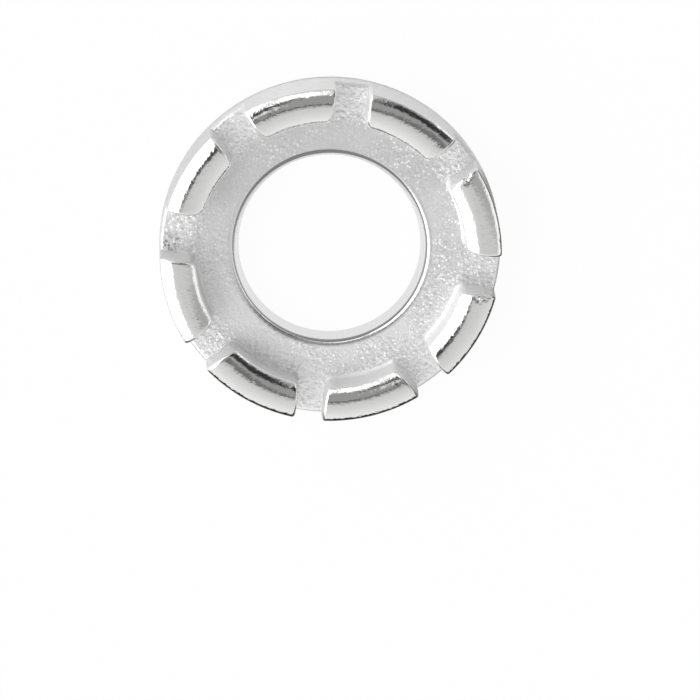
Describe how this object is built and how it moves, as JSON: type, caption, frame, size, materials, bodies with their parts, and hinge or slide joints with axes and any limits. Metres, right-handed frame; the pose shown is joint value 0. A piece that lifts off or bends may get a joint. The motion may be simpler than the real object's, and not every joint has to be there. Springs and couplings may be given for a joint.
{
  "type": "spoke wrench",
  "caption": "Round cast spoke wrench: a flat ring with crowned jaws round its rim, and parallel-sided slots of graded widths between them that grip and turn spoke nipples.",
  "frame": {"origin": "centre of the hole at the wrench's back face, which it lies on", "axes": "+Z along the hole's axis, towards the jaws; +X through the middle of slot 1, -Y through the middle of the narrowest slot"},
  "size_m": [0.044, 0.044, 0.0084],
  "materials": {
    "cast_plating": "bright zinc plate over a grainy cast surface",
    "bright_plating": "bright zinc plate over a smooth cast surface, glossy"
  },
  "bodies": {
    "root": {"web_ring": "cast_plating", "jaw_1": "bright_plating", "jaw_2": "bright_plating", "jaw_3": "bright_plating", "jaw_4": "bright_plating", "jaw_5": "bright_plating", "jaw_6": "bright_plating", "jaw_7": "bright_plating", "jaw_8": "bright_plating"}
  },
  "joints": []
}
